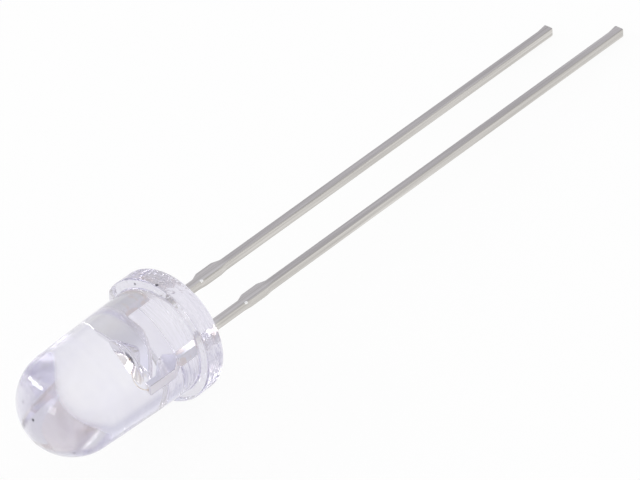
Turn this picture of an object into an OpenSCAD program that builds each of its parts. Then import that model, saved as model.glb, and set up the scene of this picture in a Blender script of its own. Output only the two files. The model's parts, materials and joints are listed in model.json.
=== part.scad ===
// Round 5 mm through hole LED, lying on a flat surface on its flange and its two lead tips.
// The origin is the centre of the flange's base. +X runs from the leads to the dome, +Y from the
// cathode to the anode, and +Z is up. Each shape is drawn along its own axes first, with +Z from
// the leads to the dome and +X from the cathode to the anode, and is then laid down.

/* [Lens] */
// Diameter of the straight band of the barrel, next to the flange
barrel_d = 4.98; // [4.4:0.02:6.2]
// Length of the straight band
band_len = 1.5; // [1:0.1:2.5]
// Diameter of the dome, where the barrel's draft ends
dome_d = 4.76; // [3.7:0.02:5.8]
// Height from the base of the flange to the top of the dome
lens_h = 8.7; // [7.1:0.05:11]
// How far the flange stands out from the barrel
flange_rim = 0.445; // [0.3:0.005:0.7]
// Thickness of the flange
flange_t = 1; // [0.7:0.05:1.4]

/* [Leads] */
// Distance between the centres of the leads
lead_pitch = 2.54; // [2.1:0.02:3.1]
// Width of a lead in the plane of the sheet
lead_w = 0.4; // [0.33:0.01:0.5]
// Thickness of the sheet that both leads are stamped from
sheet_t = 0.4; // [0.3:0.01:0.5]
// Length of the cathode lead below the flange
cathode_len = 27.1; // [20:0.1:33]
// How much longer the anode lead is
anode_extra = 1.8; // [0:0.1:3]

/* [Stand-offs] */
// Distance from the flange to the near end of the stand-off nibs
nib_start = 3.1; // [2.5:0.05:4]
// Length of the nibs, with their ramps
nib_len = 1.8; // [1.4:0.05:2.4]
// Length of each ramp
nib_ramp = 0.4; // [0.2:0.05:0.6]
// Height of the nib on the side away from the anode's outer edge
nib_long = 0.155; // [0.1:0.005:0.25]
// Height of the nib on the other side
nib_short = 0.05; // [0.02:0.005:0.1]
// Height of the burr left at the tip of each lead
burr_h = 0.08; // [0.04:0.01:0.15]
// Length of that burr
burr_len = 0.6; // [0.4:0.05:1]

/* [Anvil and cup] */
// Height of the anvil's lower edge above the flange's base
anvil_bottom = 1.78; // [1.5:0.02:2.2]
// Height of the shoulders on both sides of the cup
shoulder_h = 3.35; // [3.1:0.05:3.6]
// Slanted cut across the anvil's outer shoulder
shoulder_cut = 0.35; // [0.2:0.01:0.45]
// Distance from the lens axis to the foot of the anvil's slanted edge, on the cathode's side
anvil_foot = 0.37; // [0.2:0.01:0.45]
// Rounding where the anvil leaves its lead
stem_r = 0.25; // [0.15:0.01:0.26]
// Angle of the slanted gap to the base, in degrees
gap_angle = 45; // [43:1:51]
// Width of the gap between the anvil and the post
gap_w = 0.3; // [0.22:0.01:0.4]
// Depth of the cup
cup_depth = 0.36; // [0.3:0.01:0.42]
// How far the cup's wall leans out between the floor and the mouth
cup_flare = 0.36; // [0.28:0.01:0.44]
// Thickness of the wall at the cup's rim
rim_wall = 0.04; // [0.03:0.005:0.06]
// Height of the rim above the shoulders
rim_h = 0.17; // [0.12:0.01:0.24]
// Length over which the sheet widens into the cup, below the shoulders
swage_h = 0.6; // [0.5:0.02:0.8]

/* [Post] */
// How far the post's top stands above the shoulders
post_rise = 0.55; // [0.4:0.05:0.8]
// Width of the post's top
post_pad = 0.5; // [0.4:0.01:0.6]
// Height of the post's lower edge, beside the slanted gap
nose_h = 2.12; // [2:0.02:2.3]
// Cut across the post's nose, along its lower edge
nose_cut = 0.38; // [0.25:0.01:0.45]
// Height of that cut
nose_up = 0.5; // [0.3:0.02:0.6]
// Drop from the nose to the anode's inner edge
nose_drop = 0.4; // [0.2:0.02:0.6]

/* [Chip and wire] */
// Side of the chip
die_w = 0.3; // [0.24:0.01:0.38]
// Height of the chip
die_h = 0.18; // [0.12:0.01:0.2]
// Thickness of the adhesive under the chip
glue_t = 0.03; // [0.02:0.005:0.05]
// How far the adhesive shows round the corners of the chip
glue_rim = 0.02; // [0.01:0.005:0.025]
// Space between the adhesive and the wall of the cup
cup_room = 0.03; // [0.02:0.005:0.05]
// Diameter of the bond wire
wire_d = 0.03; // [0.025:0.005:0.04]
// Height of the wire's loop over the straight line between its ends
loop_h = 0.42; // [0.36:0.02:0.6]
// Diameter of the ball and the stitch at the ends of the wire
bond_d = 0.09; // [0.08:0.01:0.12]
// Height of the ball and the stitch
bond_h = 0.03; // [0.02:0.005:0.04]

/* [Hidden] */
$fn = 64;
eps = 0.01;

barrel_r = barrel_d / 2;
dome_r = dome_d / 2;
flange_r = barrel_r + flange_rim;
dome_z = lens_h - dome_r;

anode_len = cathode_len + anode_extra;
lead_x = lead_pitch / 2;
half_w = lead_w / 2;
glue_r = die_w / sqrt(2) + glue_rim;
floor_r = glue_r + cup_room;
mouth_r = floor_r + cup_flare;
cup_r = mouth_r + rim_wall;
rim_z = shoulder_h + rim_h;
floor_z = rim_z - cup_depth;
die_z = floor_z + glue_t;
die_top = die_z + die_h;

// How far the slanted edge moves sideways for each millimetre up
slant = 1 / tan(gap_angle);
// Width of the gap, measured level
gap_level = gap_w / sin(gap_angle);
anvil_top_x = (shoulder_h - anvil_bottom) * slant - anvil_foot;
post_h = shoulder_h + post_rise;
post_inner_x = anvil_top_x + gap_w;
post_outer_x = post_inner_x + post_pad;
// Where the post's inner edge turns from the slant to upright
knee_h = shoulder_h - (gap_level - gap_w) / slant;
nose_x = post_inner_x - (knee_h - nose_h) * slant;
wire_x = post_inner_x + post_pad / 2;

// The LED rests on the lower rim of its flange's base and on the lower cathode-side corner of
// each lead tip. (up_x, up_y, up_z) is the direction that is then up, in the LED's own axes. The
// corners are level with each other, which ties up_x to up_z.
tip_x = -lead_x - half_w - burr_h;
rest_side = anode_extra / lead_pitch;
function rest_lean(step) =
    step == 0
        ? flange_r / cathode_len
        : let (z = rest_lean(step - 1), y = sqrt(1 - z * z * (1 + rest_side * rest_side)))
            (flange_r * sqrt(1 - z * z) - y * sheet_t / 2) / (cathode_len - rest_side * tip_x);
up_z = rest_lean(8);
up_x = rest_side * up_z;
up_y = sqrt(1 - up_z * up_z - up_x * up_x);
lean = asin(up_z);
roll = atan2(up_x, up_y);

function arc(x, y, r, from, to, steps = 5) =
    [for (i = [0:steps]) let (a = from + (to - from) * i / steps) [x + r * cos(a), y + r * sin(a)]];

// Lays an upright shape down on the surface
module lie() {
    rotate([roll, -lean, 0]) rotate([90, 0, 90]) children();
}

// Cuts a shape out of the sheet, which stands upright across Y
module stamp(points) {
    rotate([90, 0, 0]) linear_extrude(height = sheet_t, center = true) polygon(points);
}

// The two sides of a lead at x, from the tip upwards on the anode's side and back on the other
function right_side(x, len) = [
    [x + half_w, -len],
    [x + half_w, -nib_start - nib_len],
    [x + half_w + nib_short, -nib_start - nib_len + nib_ramp],
    [x + half_w + nib_short, -nib_start - nib_ramp],
    [x + half_w, -nib_start]
];
function left_side(x, len) = [
    [x - half_w, -nib_start],
    [x - half_w - nib_long, -nib_start - nib_ramp],
    [x - half_w - nib_long, -nib_start - nib_len + nib_ramp],
    [x - half_w, -nib_start - nib_len],
    [x - half_w, -len + burr_len],
    [x - half_w - burr_h, -len]
];

module cathode_shape() {
    inner = -lead_x + half_w;
    outer = -lead_x - half_w;
    slope_r = stem_r * 2;
    // Where the rounded foot of the slanted edge starts and ends
    foot_x = -anvil_foot - slope_r * tan(gap_angle / 2);
    difference() {
        union() {
            stamp(concat(
                right_side(-lead_x, cathode_len),
                arc(inner + stem_r, anvil_bottom - stem_r, stem_r, 180, 90),
                arc(foot_x, anvil_bottom + slope_r, slope_r, -90, gap_angle - 90),
                [
                    [anvil_top_x, shoulder_h],
                    [outer + shoulder_cut, shoulder_h],
                    [outer, shoulder_h - shoulder_cut]
                ],
                left_side(-lead_x, cathode_len)
            ));
            // Head that carries the cup, swaged wider than the sheet
            translate([0, 0, shoulder_h]) cylinder(r = cup_r, h = rim_h);
            translate([0, 0, shoulder_h - swage_h])
                cylinder(r1 = sheet_t / 2, r2 = cup_r, h = swage_h);
        }
        translate([0, 0, floor_z]) cylinder(r1 = floor_r, r2 = mouth_r, h = cup_depth);
        translate([0, 0, rim_z - eps]) cylinder(r = mouth_r, h = cup_depth);
    }
}

module anode_shape() {
    inner = lead_x - half_w;
    outer = lead_x + half_w;
    stamp(concat(
        right_side(lead_x, anode_len),
        [
            [outer, anvil_bottom],
            [post_outer_x, anvil_bottom + post_outer_x - outer],
            [post_outer_x, post_h],
            [post_inner_x, post_h],
            [post_inner_x, knee_h],
            [nose_x + nose_up * slant, nose_h + nose_up],
            [nose_x + nose_cut, nose_h],
            [inner, nose_h - nose_drop]
        ],
        left_side(lead_x, anode_len)
    ));
}

module die_shape() {
    translate([-die_w / 2, -die_w / 2, die_z]) cube([die_w, die_w, die_h]);
}

module glue_shape() {
    translate([0, 0, floor_z]) cylinder(r = glue_r, h = glue_t);
}

module wire_shape() {
    // The loop is an arc over the chord from the ball to the stitch
    span_x = wire_x;
    span_z = post_h - die_top;
    chord = sqrt(span_x * span_x + span_z * span_z);
    arc_r = (chord * chord / 4 + loop_h * loop_h) / (2 * loop_h);
    sweep = 2 * asin(chord / 2 / arc_r);
    dip = atan2(span_z, span_x);
    translate([0, 0, die_top + bond_h / 2]) rotate([0, -dip, 0])
        translate([chord / 2, 0, loop_h - arc_r]) rotate([90, 0, 0]) rotate([0, 0, 90 - sweep / 2])
            rotate_extrude(angle = sweep) translate([arc_r, 0]) circle(d = wire_d);
    translate([0, 0, die_top]) cylinder(d = bond_d, h = bond_h);
    translate([wire_x, 0, post_h]) cylinder(d = bond_d, h = bond_h);
}

module lens_shape() {
    cylinder(r = barrel_r, h = flange_t + band_len);
    translate([0, 0, flange_t + band_len])
        cylinder(r1 = barrel_r, r2 = dome_r, h = dome_z - flange_t - band_len);
    translate([0, 0, dome_z]) sphere(r = dome_r);
    difference() {
        cylinder(r = flange_r, h = flange_t);
        translate([-flange_r - barrel_r - eps, -flange_r, -eps])
            cube([flange_r + eps, flange_r * 2, flange_t + eps * 2]);
    }
}

module lens() {
    color([0.8, 0.79, 0.93, 0.35]) lie() difference() {
        lens_shape();
        cathode_shape();
        anode_shape();
        die_shape();
        glue_shape();
        wire_shape();
    }
}

module cathode_lead() {
    color([0.74, 0.74, 0.76]) lie() cathode_shape();
}

module anode_lead() {
    color([0.74, 0.74, 0.76]) lie() anode_shape();
}

module die() {
    color([0.32, 0.3, 0.34]) lie() die_shape();
}

module die_attach() {
    color([0.66, 0.65, 0.64]) lie() glue_shape();
}

module bond_wire() {
    color([0.86, 0.66, 0.3]) lie() wire_shape();
}

lens();
cathode_lead();
anode_lead();
die();
die_attach();
bond_wire();
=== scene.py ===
import json
import math

import bmesh
import bpy
from mathutils import Matrix, Vector


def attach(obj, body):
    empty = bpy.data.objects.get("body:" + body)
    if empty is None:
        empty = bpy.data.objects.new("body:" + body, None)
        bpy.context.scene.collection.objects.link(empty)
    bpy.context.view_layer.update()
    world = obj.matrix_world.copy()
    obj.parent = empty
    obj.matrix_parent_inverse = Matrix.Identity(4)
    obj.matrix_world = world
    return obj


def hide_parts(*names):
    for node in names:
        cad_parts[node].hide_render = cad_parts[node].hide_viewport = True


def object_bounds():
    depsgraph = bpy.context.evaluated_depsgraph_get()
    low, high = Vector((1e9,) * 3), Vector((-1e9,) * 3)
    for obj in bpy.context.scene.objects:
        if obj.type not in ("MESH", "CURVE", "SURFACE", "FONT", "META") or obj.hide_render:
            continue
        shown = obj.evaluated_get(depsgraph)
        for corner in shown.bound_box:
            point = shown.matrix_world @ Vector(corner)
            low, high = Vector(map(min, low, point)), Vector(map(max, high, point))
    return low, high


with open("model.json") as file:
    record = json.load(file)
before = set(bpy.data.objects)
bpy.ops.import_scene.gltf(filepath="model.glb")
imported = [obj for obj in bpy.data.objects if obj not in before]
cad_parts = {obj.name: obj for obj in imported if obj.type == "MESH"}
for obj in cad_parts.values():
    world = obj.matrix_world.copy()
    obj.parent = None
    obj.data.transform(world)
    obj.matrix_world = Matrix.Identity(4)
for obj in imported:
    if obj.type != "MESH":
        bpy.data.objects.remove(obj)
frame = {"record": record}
cad_low, cad_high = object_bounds()

# The LED's own axes: +Z from the leads to the dome, +X from the cathode to the anode, and +Y
# square to the sheet that the leads are stamped from. Sizes are in millimetres along them.
MM = 0.001

BARREL_R = 2.49
BAND_LEN = 1.5
DOME_R = 2.38
LENS_H = 8.7
FLANGE_R = 2.935
FLANGE_T = 1.0
FLANGE_EDGE = 0.07
FLANGE_FILLET = 0.1
FLAT_X = 2.5
FLAT_BLEND = 0.012
DRAFT_BLEND = 0.8

LEAD_X = 1.27
LEAD_HALF = 0.2
SHEET_T = 0.4
EDGE_R = 0.05
CATHODE_LEN = 27.1
ANODE_LEN = 28.9
NIB_START = 3.1
NIB_LEN = 1.8
NIB_RAMP = 0.4
NIB_LONG = 0.155
NIB_SHORT = 0.05
BURR_H = 0.08
BURR_LEN = 0.6
TIP_R = 0.09
NIB_ROUND = 0.3
NIB_LONG_ROUND = 0.25
BURR_ROUND = 0.4
BURR_TIP_R = 0.06

ANVIL_BOTTOM = 1.78
SHOULDER_H = 3.35
SHOULDER_CUT = 0.35
ANVIL_FOOT = 0.37
STEM_R = 0.25
GAP_ANGLE = math.radians(45)
GAP_W = 0.3
CUP_DEPTH = 0.36
CUP_FLARE = 0.36
RIM_WALL = 0.04
RIM_H = 0.17
SWAGE_H = 0.6
POST_RISE = 0.55
POST_PAD = 0.5
NOSE_H = 2.12
NOSE_CUT = 0.38
NOSE_UP = 0.5
NOSE_DROP = 0.4
# Corner radii of the stamped head
STAMPED_R = 0.06
SHOULDER_R = 0.08
KNEE_R = 0.1
NOSE_R = 0.12
NOSE_BACK_R = 0.2
LEG_R = 0.15
# The cup's lip, the corner at its floor, and where its head runs out of the sheet
LIP_R = 0.02
CUP_FLOOR_R = 0.04
HEAD_STEP = 0.1
HEAD_DROP = 0.08

DIE_W = 0.3
DIE_H = 0.18
DIE_EDGE = 0.008
GLUE_T = 0.03
GLUE_RIM = 0.02
CUP_ROOM = 0.03
WIRE_R = 0.015
LOOP_H = 0.42
BOND_R = 0.045
BOND_H = 0.03

GLUE_R = DIE_W / math.sqrt(2) + GLUE_RIM
FLOOR_R = GLUE_R + CUP_ROOM
MOUTH_R = FLOOR_R + CUP_FLARE
CUP_R = MOUTH_R + RIM_WALL
RIM_Z = SHOULDER_H + RIM_H
FLOOR_Z = RIM_Z - CUP_DEPTH
DIE_Z = FLOOR_Z + GLUE_T
DIE_TOP = DIE_Z + DIE_H
SHEET_HALF = SHEET_T / 2
SLANT = 1 / math.tan(GAP_ANGLE)
ANVIL_TOP_X = (SHOULDER_H - ANVIL_BOTTOM) * SLANT - ANVIL_FOOT
POST_H = SHOULDER_H + POST_RISE
POST_INNER_X = ANVIL_TOP_X + GAP_W
POST_OUTER_X = POST_INNER_X + POST_PAD
KNEE_H = SHOULDER_H - (GAP_W / math.sin(GAP_ANGLE) - GAP_W) / SLANT
NOSE_X = POST_INNER_X - (KNEE_H - NOSE_H) * SLANT
WIRE_X = POST_INNER_X + POST_PAD / 2

# The pad of adhesive has a sloping edge: shares of its radius and height
GLUE_BEVEL_R = 0.97
GLUE_BEVEL_H = 0.6
GLUE_TOP_R = 0.85

# How finely the curves are cut
ARC_STEP = math.radians(12)
# A corner's arc takes at most this share of the sides beside it
CORNER_SHARE = 0.48
EDGE_STEPS = 4
FILLET_STEPS = 8
BARREL_STEPS = 40
DOME_STEPS = 60
DOME_LAST = 88.5
LENS_SEGMENTS = 384
CUP_SEGMENTS = 96
LIP_STEPS = 5
CUP_STEPS = 4
GLUE_SEGMENTS = 48
BOND_SEGMENTS = 24
BOND_STEPS = 6
WIRE_STEPS = 40
WIRE_SEGMENTS = 12


def led_matrix():
    """The LED's axes and origin in the frame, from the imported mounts."""
    mounts = {m["name"]: m for m in frame["record"]["mounts"]}
    z = -Vector(mounts["flange_base"]["axis"]).normalized()
    across = Vector(mounts["anode_pin"]["pos_m"]) - Vector(mounts["cathode_pin"]["pos_m"])
    x = (across - across.dot(z) * z).normalized()
    turn = Matrix((x, z.cross(x), z)).transposed().to_4x4()
    return Matrix.Translation(mounts["flange_base"]["pos_m"]) @ turn


LED = led_matrix()


# ---- Mesh helpers ----


def piece(name, bm, material, replaced):
    """Turns a mesh along the LED's axes, in millimetres, into a piece that stands for a CAD node."""
    bmesh.ops.scale(bm, vec=(MM, MM, MM), verts=bm.verts)
    bmesh.ops.transform(bm, matrix=LED, verts=bm.verts)
    bmesh.ops.recalc_face_normals(bm, faces=bm.faces)
    mesh = bpy.data.meshes.new(name)
    bm.to_mesh(mesh)
    bm.free()
    mesh.shade_smooth()
    mesh.materials.append(material)
    obj = bpy.data.objects.new(name, mesh)
    bpy.context.scene.collection.objects.link(obj)
    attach(obj, "root")
    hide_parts(replaced)
    return obj


def weighted(obj):
    """Keeps large faces flat beside their rounded edges."""
    mod = obj.modifiers.new("weighted_normals", "WEIGHTED_NORMAL")
    mod.weight = 100
    mod.keep_sharp = True


def bridge(bm, ring_a, ring_b):
    """Joins two rings of the same number of points with quads."""
    count = len(ring_a)
    for i in range(count):
        j = (i + 1) % count
        bm.faces.new((ring_a[i], ring_a[j], ring_b[j], ring_b[i]))


def tube(bm, rings):
    """Joins rings in turn and closes both ends."""
    for low, high in zip(rings, rings[1:]):
        bridge(bm, low, high)
    bm.faces.new(rings[0])
    bm.faces.new(rings[-1])


def revolve(bm, profile, segments, radius_at=lambda r, angle: r):
    """Turns a profile of (radius, height) about Z. radius_at gives the radius at an angle."""
    rings = []
    for r, z in profile:
        if r == 0:
            rings.append(bm.verts.new((0, 0, z)))
            continue
        ring = []
        for k in range(segments):
            a = 2 * math.pi * k / segments
            reach = radius_at(r, a)
            ring.append(bm.verts.new((reach * math.cos(a), reach * math.sin(a), z)))
        rings.append(ring)
    for low, high in zip(rings, rings[1:]):
        if isinstance(low, list) and isinstance(high, list):
            bridge(bm, low, high)
            continue
        tip, ring = (high, low) if isinstance(low, list) else (low, high)
        for i in range(segments):
            bm.faces.new((ring[i], ring[(i + 1) % segments], tip))


def arc(cx, cz, r, start, end, steps):
    """Points on an arc, from one angle to another in degrees."""
    points = []
    for i in range(steps + 1):
        a = math.radians(start + (end - start) * i / steps)
        points.append((cx + r * math.cos(a), cz + r * math.sin(a)))
    return points


def rounded(corners):
    """Rounds each (x, z, radius) corner of an outline with an arc."""
    points = []
    count = len(corners)
    for i, (x, z, radius) in enumerate(corners):
        here = Vector((x, z))
        back = Vector(corners[i - 1][:2]) - here
        ahead = Vector(corners[(i + 1) % count][:2]) - here
        half = back.angle(ahead) / 2
        shorter = min(back.length, ahead.length)
        cut = min(radius / math.tan(half), shorter * CORNER_SHARE)
        radius = cut * math.tan(half)
        start = here + back.normalized() * cut
        end = here + ahead.normalized() * cut
        inwards = (back.normalized() + ahead.normalized()).normalized()
        middle = here + inwards * (radius / math.sin(half))
        steps = max(2, math.ceil((math.pi - 2 * half) / ARC_STEP))
        for k in range(steps + 1):
            spoke = (start - middle).lerp(end - middle, 0.5).normalized()
            turn = (k / steps - 0.5) * (math.pi - 2 * half)
            sign = 1 if (start - middle).cross(end - middle) > 0 else -1
            spoke.rotate(Matrix.Rotation(sign * turn, 2))
            points.append(middle + spoke * radius)
    return points


def inset(points, amount):
    """Moves each point of an outline inwards, square to its two edges."""
    moved = []
    count = len(points)
    for i, here in enumerate(points):
        d1 = (here - points[i - 1]).normalized()
        d2 = (points[(i + 1) % count] - here).normalized()
        n1 = Vector((-d1.y, d1.x))
        n2 = Vector((-d2.y, d2.x))
        moved.append(here + (n1 + n2) * (amount / (1 + n1.dot(n2))))
    return moved


def stamp(bm, outline):
    """Extrudes an anticlockwise outline in X and Z across the sheet, with rounded edges."""
    layers = []
    for i in range(EDGE_STEPS + 1):
        a = math.pi / 2 * i / EDGE_STEPS
        layers.append((EDGE_R * (1 - math.sin(a)), -SHEET_HALF + EDGE_R * (1 - math.cos(a))))
    layers += [(depth, -y) for depth, y in reversed(layers)]
    rings = []
    for depth, y in layers:
        rings.append([bm.verts.new((p.x, y, p.y)) for p in inset(outline, depth)])
    tube(bm, rings)


# ---- Materials ----

# The middle of a noise's values, and the whole of a mask's
NOISE_SPAN = (0.3, 0.7)
UNIT = (0, 1)

# Waves of noise for each millimetre along the LED's X, Y and Z
STREAK_WAVES = (9, 9, 0.12)
BLOTCH_WAVES = (1.5, 1.5, 0.8)
WORN_WAVES = (1.8, 1.8, 1.8)
TINT_WAVES = (0.6, 0.6, 0.6)
HAZE_WAVES = (1.2, 1.2, 1.2)
SWELL_WAVES = (0.7, 0.7, 0.7)
RIPPLE_WAVES = (2.0, 2.0, 2.0)
MARK_WAVES = (3, 3, 3)
CHIP_WAVES = (30, 30, 30)
GLUE_WAVES = (40, 40, 40)

TIN_DARK = (0.5, 0.48, 0.455)
TIN_LIGHT = (0.72, 0.697, 0.668)
# The tin's flat faces are multiplied by this: painted shade, darker than the cut edges
TIN_PAINTED_SHADE = (0.84, 0.835, 0.84)
SILVER_DARK = (0.885, 0.875, 0.88)
SILVER_LIGHT = (0.94, 0.935, 0.94)
SILVER_BACK = (0.965, 0.935, 0.885)
SILVER_WORN = (0.88, 0.79, 0.72)
SILVER_SHEARED = (0.99, 0.965, 0.95)
BRIGHT = (1, 1, 1)
# Distances from the middle of the sheet where the painted shade on the tin's flat faces starts,
# where the cut edges end, and where the tint on the back face ends
PAINTED_SHADE_FADE = (SHEET_HALF - 0.03, SHEET_HALF)
SHEARED_FADE = (SHEET_HALF - 0.008, SHEET_HALF)
BACK_FADE = (-SHEET_HALF, -SHEET_HALF + EDGE_R)
# Heights where the painted shade on the tin's flat faces weakens to NIB_SHADE, where tin turns
# to silver, and where the dull foot of the head starts and ends
NIB_FADE = (-5.2, -4.6)
NIB_SHADE = 0.3
PLATING_FADE = (-1.6, 0.0)
FOOT_START = (0.0, 0.3)
FOOT_END = (1.6, 2.0)
FOOT_SHARE = 0.7
# Where along X the sheen of the post's cut edge starts, and the noise where silver is worn
POST_FADE = (1.55, 1.75)
WORN_NOISE = (0.48, 0.56)
# Roughness of the plating
POLISH = (0.05, 0.16)
TIN_EXTRA = 0.05
FOOT_ROUGH = 0.38
SHEARED_ROUGH = 0.3
PAINTED_GLINT_ROUGH = 0.55
# Bump heights of the plating, and the share of the streaks that the silver shows
STREAK_BUMP = 0.002
BLOTCH_BUMP = 0.004
SILVER_STREAKS = 0.25

EPOXY_IOR = 1.51
EPOXY_TINT = (0.925, 0.92, 0.975)
EPOXY_CLEAR = (1, 1, 1)
# The flange's deeper violet, which is painted shade
EPOXY_FLANGE_SHADE = (0.87, 0.855, 0.91)
EPOXY_ABSORBS = (0.90, 0.89, 0.95)
EPOXY_DENSITY = 110.0
EPOXY_ROUGH = (0.03, 0.1)
# Bump heights of the lens's skin: slow swells, ripples, and marks on the flange
SWELL_BUMP = 0.008
RIPPLE_BUMP = 0.0015
MARK_BUMP = 0.035
FLECK_COLOUR = (0.02, 0.02, 0.03)

CHIP_IOR = 2.4
CHIP_DARK = (0.16, 0.15, 0.2)
CHIP_LIGHT = (0.24, 0.23, 0.3)
CHIP_ROUGH = (0.15, 0.35)
GLUE_METAL = 0.4
GLUE_DARK = (0.5, 0.49, 0.48)
GLUE_LIGHT = (0.75, 0.74, 0.72)
GLUE_ROUGH = (0.4, 0.6)
GLUE_BUMP = 0.004
GOLD_DARK = (0.66, 0.56, 0.42)
GOLD_LIGHT = (0.82, 0.73, 0.6)
GOLD_ROUGH = (0.25, 0.35)
GOLD_BUMP = 0.0005

# Dark flecks on the lens: place along the LED's axes, and radius
FLECKS = [
    ((-0.1, 0.33, 8.67), 0.065),
    ((-0.87, 0.77, 8.4), 0.04),
    ((1.34, -1.22, 7.86), 0.06),
    ((-0.97, 2.52, 1.0), 0.05),
    ((0.21, 2.93, 0.92), 0.07),
]
# Painted highlights: white spots on the leads' edges, beside the nibs: place and radius
PAINTED_GLINTS = [
    ((-1.08, 0.19, -3.27), 0.085),
    ((1.48, 0.19, -3.2), 0.085),
]
# How soft a spot's edge is, as a share of its radius
SPOT_EDGE = 0.1


class Nodes:
    """The node tree of a material or a world, with short calls to add and join nodes."""

    def __init__(self, owner, output="ShaderNodeOutputMaterial"):
        self.owner = owner
        owner.use_nodes = True
        self.tree = owner.node_tree
        self.tree.nodes.clear()
        self.out = self.add(output)

    def add(self, kind, **values):
        """Adds a node. The values are its settings or the values of its inputs."""
        node = self.tree.nodes.new(kind)
        for key, value in values.items():
            if hasattr(node, key):
                setattr(node, key, value)
            else:
                node.inputs[key].default_value = value
        return node

    def join(self, source, target):
        self.tree.links.new(source, target)

    def put(self, value, target):
        """Joins a socket to an input, or sets the input to a number, vector or colour."""
        if isinstance(value, bpy.types.NodeSocket):
            self.join(value, target)
        elif target.type == "RGBA":
            target.default_value = (*value, 1)
        else:
            target.default_value = value

    def surface(self, shader):
        """Ends a material: joins its shader to the output."""
        self.join(shader.outputs[0], self.out.inputs["Surface"])
        return self.owner

    def coords(self, scale=(1, 1, 1)):
        """The LED's own coordinates in millimetres, scaled."""
        where = self.add("ShaderNodeTexCoord")
        turned = self.add("ShaderNodeMapping")
        turned.inputs["Rotation"].default_value = LED.inverted().to_euler()
        mapping = self.add("ShaderNodeMapping")
        mapping.inputs["Scale"].default_value = [s / MM for s in scale]
        self.join(where.outputs["Object"], turned.inputs["Vector"])
        self.join(turned.outputs["Vector"], mapping.inputs["Vector"])
        return mapping.outputs["Vector"]

    def axes(self):
        """The LED's X, Y and Z in millimetres. Z is the height above the flange's base."""
        split = self.add("ShaderNodeSeparateXYZ")
        self.join(self.coords(), split.inputs[0])
        return split.outputs["X"], split.outputs["Y"], split.outputs["Z"]

    def noise(self, scale, detail=2.0, roughness=0.5):
        """Noise with the given number of waves for each millimetre along X, Y and Z."""
        node = self.add("ShaderNodeTexNoise", Scale=1.0, Detail=detail, Roughness=roughness)
        self.join(self.coords(scale), node.inputs["Vector"])
        return node.outputs["Fac"]

    def ramp(self, source, stops):
        """Maps a value to colours: stops are (position, colour)."""
        node = self.add("ShaderNodeValToRGB")
        elements = node.color_ramp.elements
        while len(elements) < len(stops):
            elements.new(0.5)
        for element, (position, colour) in zip(elements, stops):
            element.position = position
            element.color = (*colour, 1)
        self.join(source, node.inputs["Fac"])
        return node.outputs["Color"]

    def blend(self, source, dark, light):
        """Runs between two colours over the middle of a noise."""
        return self.ramp(source, [(NOISE_SPAN[0], dark), (NOISE_SPAN[1], light)])

    def range(self, source, low, high, span=NOISE_SPAN):
        """Maps a value from the span to low..high."""
        node = self.add("ShaderNodeMapRange")
        node.inputs["From Min"].default_value, node.inputs["From Max"].default_value = span
        node.inputs["To Min"].default_value = low
        node.inputs["To Max"].default_value = high
        self.join(source, node.inputs["Value"])
        return node.outputs["Result"]

    def math(self, operation, first, second=0.0):
        """Works on two values, each a socket or a number."""
        node = self.add("ShaderNodeMath", operation=operation)
        self.put(first, node.inputs[0])
        self.put(second, node.inputs[1])
        return node.outputs[0]

    def vector(self, operation, source, other=(0, 0, 0)):
        """Works on a vector and a fixed one. The result is a length, a product or a vector."""
        node = self.add("ShaderNodeVectorMath", operation=operation)
        self.put(source, node.inputs[0])
        self.put(other, node.inputs[1])
        single = operation in ("LENGTH", "DISTANCE", "DOT_PRODUCT")
        return node.outputs["Value" if single else "Vector"]

    def mix(self, share, first, second, blend_type="MIX"):
        """Mixes two colours, each a socket or a fixed colour."""
        node = self.add("ShaderNodeMix", data_type="RGBA", blend_type=blend_type)
        # The node's colours are its inputs 6 and 7 and its output 2
        self.join(share, node.inputs[0])
        self.put(first, node.inputs[6])
        self.put(second, node.inputs[7])
        return node.outputs[2]

    def mix_shaders(self, share, first, second):
        """Mixes the shaders of two nodes, and returns the node that mixes them."""
        node = self.add("ShaderNodeMixShader")
        self.join(share, node.inputs["Fac"])
        self.join(first.outputs[0], node.inputs[1])
        self.join(second.outputs[0], node.inputs[2])
        return node

    def bump(self, source, height, below=None):
        """Bumps whose full height is given in millimetres."""
        node = self.add("ShaderNodeBump", Strength=1.0, Distance=height * MM)
        self.join(source, node.inputs["Height"])
        if below is not None:
            self.join(below, node.inputs["Normal"])
        return node.outputs["Normal"]

    def spots(self, places):
        """1 inside small round spots and 0 outside them, from pairs of a place and a radius."""
        where = self.coords()
        found = 0.0
        for place, radius in places:
            span = (radius * (1 - SPOT_EDGE), radius * (1 + SPOT_EDGE))
            spot = self.range(self.vector("DISTANCE", where, place), 1, 0, span)
            found = self.math("MAXIMUM", found, spot)
        return found


def material_nodes(name):
    """Starts a material."""
    return Nodes(bpy.data.materials.new(name))


def metal_grain(n):
    """Fine streaks along drawn metal, and broad blotches over it."""
    streaks = n.noise(STREAK_WAVES, detail=4.0, roughness=0.6)
    blotches = n.noise(BLOTCH_WAVES, detail=3.0)
    return streaks, blotches


def epoxy_colour(n, height):
    """A faint uneven violet tint, with a deeper violet painted shade on the flange, and dark flecks.
    """
    tint = n.blend(n.noise(TINT_WAVES, detail=4.0), EPOXY_TINT, EPOXY_CLEAR)
    flange = n.range(height, 1, 0, (FLANGE_T - FLANGE_EDGE, FLANGE_T))
    # Painted shade: a deeper violet on the flange
    tint = n.mix(flange, tint, EPOXY_FLANGE_SHADE)
    # The flecks lie on the skin, so light inside the lens doesn't meet them
    facing = n.add("ShaderNodeNewGeometry")
    outside = n.range(facing.outputs["Backfacing"], 1, 0, UNIT)
    return n.mix(n.math("MULTIPLY", n.spots(FLECKS), outside), tint, FLECK_COLOUR)


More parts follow.
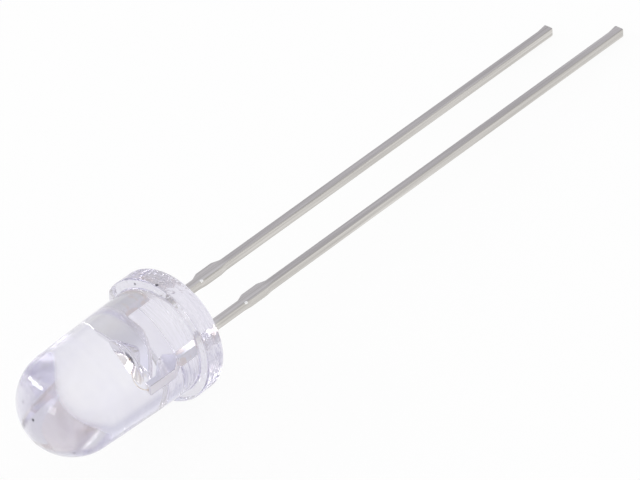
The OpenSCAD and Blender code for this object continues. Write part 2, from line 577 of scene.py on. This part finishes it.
def epoxy_material():
    """Clear epoxy, cast slightly unevenly, that absorbs a little light."""
    n = material_nodes("clear_epoxy")
    shader = n.add("ShaderNodeBsdfPrincipled", IOR=EPOXY_IOR)
    shader.inputs["Transmission Weight"].default_value = 1.0
    height = n.axes()[2]
    n.join(epoxy_colour(n, height), shader.inputs["Base Color"])
    n.join(n.range(n.noise(HAZE_WAVES), *EPOXY_ROUGH), shader.inputs["Roughness"])
    swell = n.bump(n.noise(SWELL_WAVES, detail=1.0), SWELL_BUMP)
    ripples = n.bump(n.noise(RIPPLE_WAVES, detail=1.0), RIPPLE_BUMP, swell)
    flange = n.range(height, 1, 0, (FLANGE_T, FLANGE_T + FLANGE_FILLET))
    marks = n.math("MULTIPLY", n.noise(MARK_WAVES), flange)
    n.join(n.bump(marks, MARK_BUMP, ripples), shader.inputs["Normal"])
    depth = n.add("ShaderNodeVolumeAbsorption", Density=EPOXY_DENSITY)
    depth.inputs["Color"].default_value = (*EPOXY_ABSORBS, 1)
    n.join(depth.outputs["Volume"], n.out.inputs["Volume"])
    return n.surface(shader)


def plating_colour(n, streaks, blotches, masks):
    """Tin on the leads with painted shade on its flat faces, silver on the head, worn and sheared
    places, and painted highlights.
    """
    tin = n.blend(streaks, TIN_DARK, TIN_LIGHT)
    # Painted shade: the tin's flat faces are darkened
    tin = n.mix(masks["painted_flat_shade"], tin, TIN_PAINTED_SHADE, "MULTIPLY")
    silver = n.blend(blotches, SILVER_DARK, SILVER_LIGHT)
    silver = n.mix(masks["back"], silver, SILVER_BACK)
    colour = n.mix(masks["inside"], tin, silver)
    colour = n.mix(masks["worn"], colour, SILVER_WORN)
    colour = n.mix(masks["sheared"], colour, SILVER_SHEARED)
    # Painted highlights: white spots beside the nibs
    return n.mix(masks["painted_glints"], colour, BRIGHT)


def plating_masks(n):
    """Where each kind of plating lies, as values from 0 to 1."""
    x, y, height = n.axes()
    beside = n.math("ABSOLUTE", y)
    nibs = n.range(height, 1, NIB_SHADE, NIB_FADE)
    # Painted shade on the tin's flat faces, weaker from the nibs upwards
    painted_flat_shade = n.math("MULTIPLY", n.range(beside, 0, 1, PAINTED_SHADE_FADE), nibs)
    inside = n.range(height, 0, 1, PLATING_FADE)
    foot_end = n.range(height, FOOT_SHARE, 0, FOOT_END)
    foot = n.math("MULTIPLY", n.range(height, 0, 1, FOOT_START), foot_end)
    thin = n.range(n.noise(WORN_WAVES, detail=3.0), 0, 1, WORN_NOISE)
    cut_face = n.range(beside, 1, 0, SHEARED_FADE)
    cut_post = n.math("MULTIPLY", cut_face, n.range(x, 0, 1, POST_FADE))
    return {
        "painted_flat_shade": painted_flat_shade,
        "back": n.range(y, 1, 0, BACK_FADE),
        "inside": inside,
        "foot": foot,
        "worn": n.math("MULTIPLY", thin, foot),
        "sheared": n.math("MULTIPLY", cut_post, inside),
        # Painted highlights
        "painted_glints": n.spots(PAINTED_GLINTS),
    }


def plating_roughness(n, blotches, masks):
    """Polished silver, slightly duller tin, and the dull places over them."""
    tin_extra = n.range(masks["inside"], TIN_EXTRA, 0, UNIT)
    rough = n.math("ADD", n.range(blotches, *POLISH), tin_extra)
    foot = n.range(masks["foot"], 0, FOOT_ROUGH, (0, FOOT_SHARE))
    rough = n.math("MAXIMUM", rough, foot)
    rough = n.math("MAXIMUM", rough, n.range(masks["sheared"], 0, SHEARED_ROUGH, UNIT))
    return n.math("MAXIMUM", rough, n.range(masks["painted_glints"], 0, PAINTED_GLINT_ROUGH))


def plating_material():
    """Tinned leads outside the epoxy, and a bright silver-plated head inside it."""
    n = material_nodes("plating")
    shader = n.add("ShaderNodeBsdfPrincipled", Metallic=1.0)
    streaks, blotches = metal_grain(n)
    masks = plating_masks(n)
    n.join(plating_colour(n, streaks, blotches, masks), shader.inputs["Base Color"])
    n.join(plating_roughness(n, blotches, masks), shader.inputs["Roughness"])
    relief = n.math("MULTIPLY", streaks, n.range(masks["inside"], 1, SILVER_STREAKS, UNIT))
    grain = n.bump(relief, STREAK_BUMP)
    n.join(n.bump(blotches, BLOTCH_BUMP, grain), shader.inputs["Normal"])
    return n.surface(shader)


def gold_material():
    """Drawn gold with streaks along it."""
    n = material_nodes("gold")
    shader = n.add("ShaderNodeBsdfPrincipled", Metallic=1.0)
    streaks, blotches = metal_grain(n)
    n.join(n.blend(streaks, GOLD_DARK, GOLD_LIGHT), shader.inputs["Base Color"])
    n.join(n.range(blotches, *GOLD_ROUGH), shader.inputs["Roughness"])
    grain = n.bump(streaks, GOLD_BUMP)
    n.join(n.bump(blotches, GOLD_BUMP * 2, grain), shader.inputs["Normal"])
    return n.surface(shader)


def die_material():
    """Dark violet semiconductor with a fine grain."""
    n = material_nodes("chip_surface")
    shader = n.add("ShaderNodeBsdfPrincipled", IOR=CHIP_IOR)
    grain = n.noise(CHIP_WAVES, detail=3.0)
    n.join(n.blend(grain, CHIP_DARK, CHIP_LIGHT), shader.inputs["Base Color"])
    n.join(n.range(grain, *CHIP_ROUGH), shader.inputs["Roughness"])
    return n.surface(shader)


def glue_material():
    """Silver-filled adhesive."""
    n = material_nodes("adhesive")
    shader = n.add("ShaderNodeBsdfPrincipled", Metallic=GLUE_METAL)
    grain = n.noise(GLUE_WAVES, detail=3.0)
    n.join(n.blend(grain, GLUE_DARK, GLUE_LIGHT), shader.inputs["Base Color"])
    n.join(n.range(grain, *GLUE_ROUGH), shader.inputs["Roughness"])
    n.join(n.bump(grain, GLUE_BUMP), shader.inputs["Normal"])
    return n.surface(shader)


# ---- Pieces ----


def lens_profile():
    """The lens's outline from the centre of its base to the top of its dome."""
    inner = FLANGE_R - FLANGE_EDGE
    points = [(0, 0)]
    points += [(BARREL_R * share, 0) for share in (0.2, 0.4, 0.6, 0.8, 1.0)]
    points += arc(inner, FLANGE_EDGE, FLANGE_EDGE, -90, 0, FILLET_STEPS)
    points += [(FLANGE_R, FLANGE_T * share) for share in (0.2, 0.35, 0.5, 0.65, 0.8)]
    points += arc(inner, FLANGE_T - FLANGE_EDGE, FLANGE_EDGE, 0, 90, FILLET_STEPS)
    fillet_r = BARREL_R + FLANGE_FILLET
    points += arc(fillet_r, FLANGE_T + FLANGE_FILLET, FLANGE_FILLET, 270, 180, FILLET_STEPS)
    # The draft starts gently and runs into the dome without a crease
    band_top = FLANGE_T + BAND_LEN
    draft = math.atan((BARREL_R - DOME_R) / (LENS_H - DOME_R - band_top))
    dome_r = BARREL_R * math.cos(draft) - (LENS_H - band_top) * math.sin(draft)
    dome_r /= 1 - math.sin(draft)
    start = FLANGE_T + FLANGE_FILLET
    end = LENS_H - dome_r + dome_r * math.sin(draft)
    for i in range(1, BARREL_STEPS):
        z = start + (end - start) * i / BARREL_STEPS
        past = z - band_top
        if past > DRAFT_BLEND:
            drop = past
        else:
            drop = max(past + DRAFT_BLEND, 0) ** 2 / (4 * DRAFT_BLEND)
        points.append((BARREL_R - drop * math.tan(draft), z))
    points += arc(0, LENS_H - dome_r, dome_r, math.degrees(draft), DOME_LAST, DOME_STEPS)
    points.append((0, LENS_H))
    return points


def flattened(r, angle):
    """The lens's radius at an angle, with the flat on the cathode's side of the flange."""
    away = -math.cos(angle)
    if away <= 0 or r < BARREL_R:
        return r
    flat = FLAT_X / away
    mixed = 0.5 + 0.5 * (flat - r) / FLAT_BLEND
    mixed = min(max(mixed, 0), 1)
    return r * mixed + flat * (1 - mixed) - FLAT_BLEND * mixed * (1 - mixed)


def make_lens():
    """The clear body: flange, barrel and dome in one casting."""
    bm = bmesh.new()
    revolve(bm, lens_profile(), LENS_SEGMENTS, flattened)
    piece("clear_lens", bm, epoxy_material(), "lens")


def lead_sides(x, length):
    """The right side of a lead upwards from its tip, and the left side down to it."""
    right = x + LEAD_HALF
    left = x - LEAD_HALF
    nib_end = NIB_START + NIB_LEN
    up = [
        (right, -length, TIP_R),
        (right, -nib_end, NIB_ROUND),
        (right + NIB_SHORT, -nib_end + NIB_RAMP, NIB_ROUND),
        (right + NIB_SHORT, -NIB_START - NIB_RAMP, NIB_ROUND),
        (right, -NIB_START, NIB_ROUND),
    ]
    down = [
        (left, -NIB_START, NIB_ROUND),
        (left - NIB_LONG, -NIB_START - NIB_RAMP, NIB_LONG_ROUND),
        (left - NIB_LONG, -nib_end + NIB_RAMP, NIB_LONG_ROUND),
        (left, -nib_end, NIB_ROUND),
        (left, -length + BURR_LEN, BURR_ROUND),
        (left - BURR_H, -length, BURR_TIP_R),
    ]
    return up, down


def cathode_outline():
    """The cathode's lead, and the anvil with its foot and cut shoulder."""
    up, down = lead_sides(-LEAD_X, CATHODE_LEN)
    inner = -LEAD_X + LEAD_HALF
    outer = -LEAD_X - LEAD_HALF
    top = [
        (inner, ANVIL_BOTTOM, STEM_R),
        (-ANVIL_FOOT, ANVIL_BOTTOM, STEM_R * 2),
        (ANVIL_TOP_X, SHOULDER_H, STAMPED_R),
        (outer + SHOULDER_CUT, SHOULDER_H, SHOULDER_R),
        (outer, SHOULDER_H - SHOULDER_CUT, LEG_R),
    ]
    return rounded(up + top + down)


def anode_outline():
    """The anode's lead, and the post with its nose under the slanted gap."""
    up, down = lead_sides(LEAD_X, ANODE_LEN)
    inner = LEAD_X - LEAD_HALF
    outer = LEAD_X + LEAD_HALF
    top = [
        (outer, ANVIL_BOTTOM, LEG_R),
        (POST_OUTER_X, ANVIL_BOTTOM + POST_OUTER_X - outer, KNEE_R),
        (POST_OUTER_X, POST_H, STAMPED_R),
        (POST_INNER_X, POST_H, STAMPED_R),
        (POST_INNER_X, KNEE_H, KNEE_R),
        (NOSE_X + NOSE_UP * SLANT, NOSE_H + NOSE_UP, NOSE_BACK_R),
        (NOSE_X + NOSE_CUT, NOSE_H, NOSE_R),
        (inner, NOSE_H - NOSE_DROP, LEG_R),
    ]
    return rounded(up + top + down)


def cup_profile():
    """The head that carries the cup: out of the sheet, over the rim and down to the floor."""
    points = [(SHEET_HALF, SHOULDER_H - SWAGE_H)]
    points += [(CUP_R - HEAD_STEP, SHOULDER_H - HEAD_DROP), (CUP_R - LIP_R, SHOULDER_H)]
    points += arc(CUP_R - LIP_R, RIM_Z - LIP_R, LIP_R, 0, 90, LIP_STEPS)
    points += arc(MOUTH_R + LIP_R, RIM_Z - LIP_R, LIP_R, 90, 150, CUP_STEPS)
    points += arc(FLOOR_R - CUP_FLOOR_R, FLOOR_Z + CUP_FLOOR_R, CUP_FLOOR_R, -40, -90, CUP_STEPS)
    points += [(FLOOR_R / 2, FLOOR_Z), (0, FLOOR_Z)]
    return points


def make_cathode(metal):
    """The cathode's lead, its anvil and the cup that holds the chip."""
    bm = bmesh.new()
    stamp(bm, cathode_outline())
    revolve(bm, cup_profile(), CUP_SEGMENTS)
    weighted(piece("cathode_lead_frame", bm, metal, "cathode_lead"))


def make_anode(metal):
    """The anode's lead and the post that the wire is bonded to."""
    bm = bmesh.new()
    stamp(bm, anode_outline())
    weighted(piece("anode_lead_frame", bm, metal, "anode_lead"))


def make_die():
    """The square chip on its adhesive."""
    bm = bmesh.new()
    bmesh.ops.create_cube(bm, size=1)
    bmesh.ops.scale(bm, vec=(DIE_W, DIE_W, DIE_H), verts=bm.verts)
    bmesh.ops.translate(bm, vec=(0, 0, DIE_Z + DIE_H / 2), verts=bm.verts)
    bmesh.ops.bevel(bm, geom=bm.edges[:], offset=DIE_EDGE, segments=2, affect="EDGES")
    weighted(piece("chip", bm, die_material(), "die"))


def make_glue():
    """A flat round pad of adhesive with a sloping edge."""
    bm = bmesh.new()
    profile = [(0, FLOOR_Z), (GLUE_R, FLOOR_Z)]
    profile += [(GLUE_R * GLUE_BEVEL_R, FLOOR_Z + GLUE_T * GLUE_BEVEL_H)]
    profile += [(GLUE_R * GLUE_TOP_R, FLOOR_Z + GLUE_T), (0, FLOOR_Z + GLUE_T)]
    revolve(bm, profile, GLUE_SEGMENTS)
    piece("die_adhesive", bm, glue_material(), "die_attach")


def wire_rings(bm, start, end):
    """Round rings along a loop of wire that rises by LOOP_H between its ends."""
    side = Vector((0, 1, 0))
    rings = []
    for i in range(WIRE_STEPS + 1):
        t = i / WIRE_STEPS
        along = start.lerp(end, t) + Vector((0, 0, LOOP_H * 4 * t * (1 - t)))
        slope = (end - start) + Vector((0, 0, LOOP_H * 4 * (1 - 2 * t)))
        out = slope.normalized().cross(side)
        ring = []
        for k in range(WIRE_SEGMENTS):
            a = 2 * math.pi * k / WIRE_SEGMENTS
            ring.append(bm.verts.new(along + WIRE_R * (side * math.cos(a) + out * math.sin(a))))
        rings.append(ring)
    return rings


def add_bond(bm, x, z):
    """Adds the flattened ball that joins the wire to the face below it."""
    ball = bmesh.new()
    half = BOND_H / 2
    profile = [(0, z)] + arc(BOND_R - half, z + half, half, -90, 90, BOND_STEPS) + [(0, z + BOND_H)]
    revolve(ball, profile, BOND_SEGMENTS)
    bmesh.ops.translate(ball, vec=(x, 0, 0), verts=ball.verts)
    mesh = bpy.data.meshes.new("ball")
    ball.to_mesh(mesh)
    ball.free()
    bm.from_mesh(mesh)
    bpy.data.meshes.remove(mesh)


def make_wire():
    """The wire's loop from the chip to the post, with a bond at each end."""
    start = Vector((0, 0, DIE_TOP + BOND_H / 2))
    end = Vector((WIRE_X, 0, POST_H + BOND_H / 2))
    bm = bmesh.new()
    tube(bm, wire_rings(bm, start, end))
    add_bond(bm, 0, DIE_TOP)
    add_bond(bm, WIRE_X, POST_H)
    piece("bond_wire_loop", bm, gold_material(), "bond_wire")


# ---- Floor, light and camera ----

# Light bounces many times inside the dome before it leaves
GLASS_BOUNCES = 40

FLOOR_SIZE = 1.2
FLOOR_DARK = (0.95, 0.95, 0.95)
FLOOR_LIGHT = (0.97, 0.97, 0.97)
FLOOR_GRAIN = 40.0
# How much the floor glows by itself through glass and in reflections, and to the camera
GLOW_INDIRECT = 0.85
GLOW_DIRECT = 0.93
# The painted pool of light on the floor that the lens shows, which fades to painted violet shade:
# its place in metres, and how it falls off
POOL_PLACE = (0.0024, -0.0026)
POOL_OVAL = (1, 1.6, 1)
POOL_REACH = 0.05
POOL_STOPS = [
    (0.0, (1, 1, 1)),
    (0.014, (1, 1, 1)),
    (0.028, (0.965, 0.962, 0.975)),
    (0.05, (0.91, 0.906, 0.93)),
    (0.14, (0.87, 0.865, 0.895)),
    (0.4, (0.75, 0.745, 0.81)),
    (1.0, (0.68, 0.673, 0.76)),
]

# Levels of the sky and of the grey wall, from the horizon at 0 to straight up at 1
SKY_LEVELS = [(0.0, 0.97), (0.15, 0.95), (0.45, 0.75), (1.0, 0.8)]
WALL_LEVELS = [(0.0, 0.67), (0.12, 0.69), (0.26, 0.9), (0.42, 0.92), (0.56, 0.58), (1.0, 0.7)]
WALL_BLUE = 1.13
# The wall and the flag: the way to the middle of each, and the cosines where its edge fades
WALL_SIDE = (-0.66, -0.75, 0)
WALL_SPREAD = (0.6, 0.95)
FLAG_SIDE = (0.716, -0.682, 0.15)
FLAG_SPREAD = (0.95, 0.98)
FLAG_COLOUR = (0.62, 0.61, 0.7)

# Each lamp's name, azimuth, elevation, size in metres, power in watts, and tilt
LAMPS = [
    ("side_strip", -68.3, 19.2, (0.52, 0.036), 0.42, 39.5),
    ("high_strip", -60.3, 25.0, (0.27, 0.058), 0.29, 39.5),
    ("front_box", 0, 16, (0.13, 0.13), 0.16, 0),
]
LAMP_FAR = 0.5

CAMERA_AIM = Vector((-6.061, 3.315, 2.483)) * MM
CAMERA_FAR = 400 * MM
CAMERA_AZIMUTH = 42.455
CAMERA_ELEVATION = 41.981
CAMERA_ROLL = math.radians(-3.903)
CAMERA_LENS = 532.85
CAMERA_SENSOR = 36
CAMERA_NEAREST = 0.01
CAMERA_FARTHEST = 10


def direction(azimuth, elevation):
    """The unit vector from the part towards an azimuth and elevation in degrees."""
    a = math.radians(azimuth)
    e = math.radians(elevation)
    return Vector((math.cos(a) * math.cos(e), math.sin(a) * math.cos(e), math.sin(e)))


def painted_light_pool(n):
    """The floor's colour as the lens shows it: a painted pool of light, brightest where the lens
    would gather light, fading to painted violet shade.
    """
    where = n.add("ShaderNodeTexCoord").outputs["Object"]
    away = n.vector("SUBTRACT", where, (*POOL_PLACE, cad_low.z))
    reach = n.vector("LENGTH", n.vector("MULTIPLY", away, POOL_OVAL))
    return n.ramp(n.range(reach, 0, 1, (0, POOL_REACH)), POOL_STOPS)


def floor_material():
    """Pale matt floor that looks nearly white to the camera and keeps the shadow."""
    n = material_nodes("floor_white")
    grain = n.add("ShaderNodeTexNoise", Scale=FLOOR_GRAIN).outputs["Fac"]
    matte = n.add("ShaderNodeBsdfDiffuse")
    n.join(n.blend(grain, FLOOR_DARK, FLOOR_LIGHT), matte.inputs["Color"])
    path = n.add("ShaderNodeLightPath")
    through = path.outputs["Is Transmission Ray"]
    glow = n.add("ShaderNodeEmission", Strength=1.0)
    # Through glass the floor shows the painted pool of light and shade
    n.join(n.mix(through, BRIGHT, painted_light_pool(n)), glow.inputs["Color"])
    indirect = n.math("MAXIMUM", path.outputs["Is Glossy Ray"], through)
    indirect = n.math("MULTIPLY", indirect, GLOW_INDIRECT)
    direct = n.math("MULTIPLY", path.outputs["Is Camera Ray"], GLOW_DIRECT)
    return n.surface(n.mix_shaders(n.math("MAXIMUM", indirect, direct), matte, glow))


def make_floor():
    """A plain pale floor at the lowest point of the part. It keeps the shadow."""
    half = FLOOR_SIZE / 2
    bm = bmesh.new()
    corners = [(-half, -half), (half, -half), (half, half), (-half, half)]
    bm.faces.new([bm.verts.new((x, y, cad_low.z)) for x, y in corners])
    mesh = bpy.data.meshes.new("floor")
    bm.to_mesh(mesh)
    bm.free()
    mesh.materials.append(floor_material())
    floor = bpy.data.objects.new("floor", mesh)
    bpy.context.scene.collection.objects.link(floor)


def grey_levels(n, height, levels, blue=1):
    """Grey levels by height, with their blue made stronger by a factor."""
    stops = [(place, (level, level, min(level * blue, 1))) for place, level in levels]
    return n.ramp(height, stops)


def studio_colour(n):
    """A bright horizon and a grey ceiling, a grey wall, and a grey flag beside the strip lamps."""
    where = n.add("ShaderNodeTexCoord").outputs["Generated"]
    split = n.add("ShaderNodeSeparateXYZ")
    n.join(where, split.inputs[0])
    height = split.outputs["Z"]
    wall = n.range(n.vector("DOT_PRODUCT", where, WALL_SIDE), 0, 1, WALL_SPREAD)
    sky = grey_levels(n, height, SKY_LEVELS)
    colour = n.mix(wall, sky, grey_levels(n, height, WALL_LEVELS, WALL_BLUE))
    flag = n.range(n.vector("DOT_PRODUCT", where, FLAG_SIDE), 0, 1, FLAG_SPREAD)
    return n.mix(flag, colour, FLAG_COLOUR)


def make_world():
    """Soft light from all round, and white behind the part to the camera."""
    world = bpy.data.worlds.new("studio")
    bpy.context.scene.world = world
    n = Nodes(world, "ShaderNodeOutputWorld")
    lit = n.add("ShaderNodeBackground")
    n.join(studio_colour(n), lit.inputs["Color"])
    white = n.add("ShaderNodeBackground")
    white.inputs["Color"].default_value = (*BRIGHT, 1)
    path = n.add("ShaderNodeLightPath")
    n.surface(n.mix_shaders(path.outputs["Is Camera Ray"], lit, white))


def make_lamp(name, azimuth, elevation, size, power, tilt):
    """A rectangular soft box that faces the part."""
    data = bpy.data.lights.new(name, "AREA")
    data.shape = "RECTANGLE"
    data.size, data.size_y = size
    data.energy = power
    lamp = bpy.data.objects.new(name, data)
    bpy.context.scene.collection.objects.link(lamp)
    away = direction(azimuth, elevation)
    lamp.location = away * LAMP_FAR
    facing = away.to_track_quat("Z", "Y").to_matrix()
    lamp.rotation_euler = (facing @ Matrix.Rotation(math.radians(tilt), 3, "Z")).to_euler()


def make_camera():
    """A long lens that looks down at the part, rolled as in the photo."""
    data = bpy.data.cameras.new("camera")
    data.lens = CAMERA_LENS
    data.sensor_width = CAMERA_SENSOR
    data.clip_start = CAMERA_NEAREST
    data.clip_end = CAMERA_FARTHEST
    camera = bpy.data.objects.new("camera", data)
    bpy.context.scene.collection.objects.link(camera)
    back = direction(CAMERA_AZIMUTH, CAMERA_ELEVATION)
    level = Vector((0, 0, 1)).cross(back).normalized()
    above = back.cross(level)
    right = level * math.cos(CAMERA_ROLL) + above * math.sin(CAMERA_ROLL)
    up = back.cross(right)
    turn = Matrix((right, up, back)).transposed().to_4x4()
    camera.matrix_world = Matrix.Translation(CAMERA_AIM + back * CAMERA_FAR) @ turn
    bpy.context.scene.camera = camera


plating = plating_material()
make_lens()
make_cathode(plating)
make_anode(plating)
make_die()
make_glue()
make_wire()
make_floor()
make_world()
for lamp in LAMPS:
    make_lamp(*lamp)
make_camera()
scene = bpy.context.scene
scene.cycles.max_bounces = GLASS_BOUNCES
scene.cycles.transmission_bounces = GLASS_BOUNCES
scene.cycles.glossy_bounces = GLASS_BOUNCES
scene.view_settings.view_transform = "Standard"
